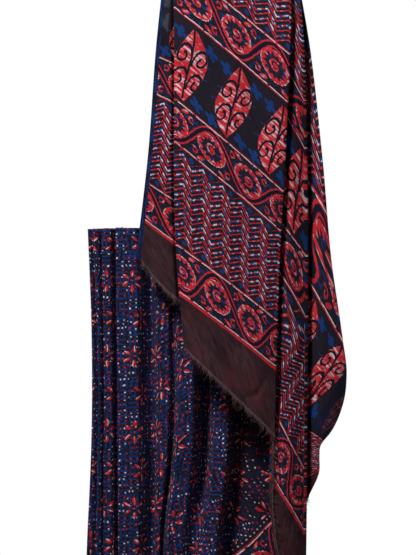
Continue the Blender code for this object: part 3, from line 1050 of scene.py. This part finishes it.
def body_material():
    """The body's print: blocks of blue bars, dots and small flowers, with scroll along the selvage."""
    material, shader = material_tree("body_print")
    clean_p, clean_q = map_of("BodyPrint")
    p, q = ragged(clean_p + BODY_PRINT_PLACE[0], clean_q + BODY_PRINT_PLACE[1], 0.0014)
    cloud = partial(noise, clean_p, clean_q)
    p = p + (cloud(34, 34, 1, 19) - 0.5) * 0.010
    q = q + (cloud(34, 34, 1, 29) - 0.5) * 0.010
    mottle = cloud(25, 25, 3, 4)
    paint = Paint("ground")
    lay = paint.lay
    lay("black", above(mottle, 0.5, 0.3) * 0.6)
    i, j = whole(p / CELL + 0.5), whole(q / CELL + 0.5)
    x, y = p - i * CELL, q - j * CELL
    odd = fraction((i + j) * 0.5 + 0.01) > 0.25
    run, over = blend(x, y, odd), blend(y, x, odd)
    third = CELL / 3
    bar = line(from_repeat(over, third), BAR_WIDTH) * inside(abs(run) - CELL * 0.44)
    chance = above(noise(i, j, 7.3, 5.1, 0, 3), 0.52)
    link = line(abs(run) - CELL * 0.2, BAR_WIDTH * 0.9) * chance * inside(abs(over) - third)
    worn = above(cloud(110, 110, 2, 14), 0.40, 0.12)
    period = CELL * FLOWER_EVERY
    row = whole(q / period + 0.5)
    shift = (fraction(row * 0.5 + 0.01) > 0.25) * (0.27 * period)
    fx = from_repeat(p - shift, period)
    fy = q - row * period
    r = length(fx, fy)
    angle = angle_of(fy, fx) + math.pi / 2
    spoke = from_repeat(angle, 2 * math.pi / PETALS)
    off = sine(spoke) * r
    out = cosine(spoke) * r - PETAL_MIDDLE

    def petal_shape(half_long, half_wide):
        return inside(abs(off) - (1.0 - power(abs(out) / half_long, 1.7)) * half_wide)

    petal = petal_shape(*PETAL_HALF)
    around = petal_shape(PETAL_HALF[0] + 0.0018, PETAL_HALF[1] + 0.0016)
    # painted shade: the blue bars are thinned out on the far cloth right of the cowl folds, which lies in
    # shade
    far_cloth_painted_shade = above(clean_p, 0.32, 0.06) * 0.75
    lay("body blue", without(without(either(bar, link) * worn, around), far_cloth_painted_shade))
    half = CELL / 2
    number = whole(run / half) * 0.618 + whole(over / third) * 0.381 + (i * 0.271 + j * 0.443)
    kind = fraction(sine(number * 12.9) * 437.5)  # a number by chance for each dot
    from_dot = length(from_repeat(run, half, 0.0), from_repeat(over, third, 0.0))
    dot = inside(from_dot - DOT_RADIUS * blend(1.05, 0.85, kind))
    dots = without(dot, around) * (kind > 0.28)
    lay("red", dots)
    lay("white", dots * (kind > 0.70))
    petal = petal * above(cloud(70, 70, 1, 44), 0.36, 0.10)
    lay("red", petal)
    pale = above(cloud(120, 120, 1, 24), 0.48, 0.08)
    lay("white", petal * inside(abs(off + 0.0013) - 0.0008) * pale)
    lay("red", inside(r - DOT_RADIUS))
    beside, apart = map_of("Border")
    border_x, border_h = ragged(beside, apart, 0.0011)
    dry = above(noise(beside, apart, 150, 150, 2, 61), 0.60, 0.08)
    lay("ground", inside(border_h - SCROLL_HEIGHT - 0.012))
    lay_scroll(paint.part(inside(border_h - SCROLL_HEIGHT)), border_x, border_h, dry)
    dots_x = from_repeat(border_x, BORDER_DOT_PITCH, 0.0)
    lay("white", inside(length(dots_x, border_h - SCROLL_HEIGHT - 0.007) - 0.0014) * 0.7)
    finish_cloth(shader, paint, clean_p, clean_q)
    return material


THREAD_SPACING = 0.0009
THREAD_LENGTH = 0.0118
THREAD_RADIUS = 0.0006
THREAD_RINGS = 4


def add_threads(points, maps, seed):
    """Loose threads along the pallu's end edge: points, faces and map values to join to its sheet."""
    rng = np.random.default_rng(seed)
    edge, before = points[-1], points[-4]
    run = run_along(edge)
    places = np.arange(0.001, run[-1], THREAD_SPACING)
    places = places + rng.uniform(-0.4, 0.4, len(places)) * THREAD_SPACING
    base = np.stack([np.interp(places, run, edge[:, k]) for k in range(3)], 1)
    down = np.stack([np.interp(places, run, (edge - before)[:, k]) for k in range(3)], 1)
    down /= np.linalg.norm(down, axis=1, keepdims=True)
    sway = rng.normal(0, 0.45, (len(places), 3)) * (1.0, 0.25, 0.4)
    bend = rng.normal(0, 0.5, (len(places), 3)) * (1.0, 0.20, 0.3)
    reach = THREAD_LENGTH * rng.uniform(0.45, 1.25, len(places))
    found, faces = [], []
    for k in range(THREAD_RINGS + 1):
        part = k / THREAD_RINGS
        centre = base - 0.001 * down + (down + sway * part + bend * part * part) * (reach * part)[:, None]
        radius = THREAD_RADIUS * (1 - 0.4 * part)
        for corner in range(3):
            angle = 2 * math.pi * corner / 3
            found.append(centre + radius * np.array([math.cos(angle), math.sin(angle), 0.0]))
    rings = np.stack(found, 1)
    u = np.interp(places, run, maps[-1, :, 0])
    count = rings.shape[1]
    start = np.arange(len(places))[:, None] * count
    for k in range(THREAD_RINGS):
        for corner in range(3):
            here, there = 3 * k + corner, 3 * k + (corner + 1) % 3
            faces.append(start + np.array([here, there, there + 3, here + 3]))
    values = np.stack([np.repeat(u, count), np.full(len(places) * count, -0.005)], 1)
    return rings.reshape(-1, 3), np.concatenate(faces), values


def flat_size(points):
    """Width of the cloth in a grid of points, and its length, from its area."""
    falling = points[1:, 1:] - points[:-1, :-1]
    rising = points[:-1, 1:] - points[1:, :-1]
    area = np.linalg.norm(np.cross(falling, rising), axis=2).sum() / 2
    return CLOTH_WIDTH, float(area / CLOTH_WIDTH)


def add_pallu(columns, widths):
    points, maps = pallu_grid(columns, widths)
    thread_points, thread_faces, thread_maps = add_threads(points, maps, seed=7)
    all_points = np.concatenate([points.reshape(-1, 3), thread_points])
    faces = np.concatenate([grid_faces(*points.shape[:2]), thread_faces + points[..., 0].size])
    print_map = np.concatenate([maps.reshape(-1, 2), thread_maps])
    piece = cloth_piece("sari_pallu", all_points, faces, pallu_material(), {"PalluPrint": print_map})
    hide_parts("sari_cloth")
    flat_size(points)


def add_body(columns, widths):
    points, print_map, border_map = body_grid(columns, widths)
    faces = grid_faces(*points.shape[:2])
    maps = {"BodyPrint": print_map, "Border": border_map}
    piece = cloth_piece("sari_body", points.reshape(-1, 3), faces, body_material(), maps)
    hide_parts("sari_cloth")
    flat_size(points)


# The photo's frame and the room
PHOTO_PX = (416, 555)
PX_PER_M = 540.0
PX_OF_X0 = 230.0  # the photo's column at x = 0, and its row at z = 0
PX_OF_Z0 = -60.0
CAMERA_DISTANCE = 4.5
SENSOR = 36.0
FLOOR_GAP = 0.12
FLOOR_RADIUS = 2.3
FLOOR_CORNERS = 96


def add_camera():
    data = bpy.data.cameras.new("camera")
    data.sensor_width = SENSOR
    data.lens = SENSOR * CAMERA_DISTANCE / (PHOTO_PX[1] / PX_PER_M)
    camera = linked("camera", data)
    middle_x = (PHOTO_PX[0] / 2 - PX_OF_X0) / PX_PER_M
    middle_z = -(PHOTO_PX[1] / 2 - PX_OF_Z0) / PX_PER_M
    camera.location = (middle_x, -CAMERA_DISTANCE, middle_z)
    camera.rotation_euler = (math.pi / 2, 0, 0)
    bpy.context.scene.camera = camera


# Lights: name, place, size in metres, watts
LIGHTS = (
    ("key", (-1.15, -2.0, 1.95), 0.9, 112.0),
    ("fill", (0.9, -3.3, -0.4), 1.6, 5.0),
    ("back", (0.5, 3.0, 0.8), 2.0, 50.0),
)
AIM = (-0.05, 0.0, -0.6)
WORLD_LIGHT = 0.05


def add_lights():
    for name, place, size, watts in LIGHTS:
        data = bpy.data.lights.new(name, "AREA")
        data.size = size
        data.energy = watts
        light = linked(name, data)
        light.location = place
        x, y, z = np.array(AIM) - np.array(place)
        light.rotation_euler = (math.atan2(math.hypot(x, y), -z), 0, math.atan2(y, x) - math.pi / 2)


def add_world():
    """White behind the cloth for the camera, and dimmer as a light."""
    world = bpy.data.worlds.new("studio")
    world.use_nodes = True
    Field.tree = world.node_tree
    seen = Field(new_node("ShaderNodeLightPath").outputs["Is Camera Ray"])
    background = world.node_tree.nodes["Background"]
    background.inputs["Color"].default_value = (1.0, 1.0, 1.0, 1.0)
    feed(background.inputs["Strength"], blend(WORLD_LIGHT, 1.0, seen))
    bpy.context.scene.world = world
    bpy.context.scene.view_settings.view_transform = "Standard"


def add_floor():
    z = cad_box[0][2] - FLOOR_GAP
    angles = [2 * math.pi * k / FLOOR_CORNERS for k in range(FLOOR_CORNERS)]
    ring = [(FLOOR_RADIUS * math.cos(angle), FLOOR_RADIUS * math.sin(angle), z) for angle in angles]
    mesh = bpy.data.meshes.new("floor")
    mesh.from_pydata(ring, [], [tuple(range(FLOOR_CORNERS))])
    material, shader = material_tree("floor")
    shader.inputs["Base Color"].default_value = (0.82, 0.82, 0.82, 1)
    shader.inputs["Roughness"].default_value = 0.9
    mesh.materials.append(material)
    floor = linked("floor", mesh)
    floor.visible_diffuse = False  # so that the folds' shadows stay deep


def main():
    columns = stations(PALLU_PANEL_STEPS, TURN_STEPS)  # across the pallu and the fan behind
    widths = across(columns)
    add_camera()
    add_lights()
    add_world()
    add_floor()
    add_body(columns, widths)
    add_pallu(columns, widths)


main()
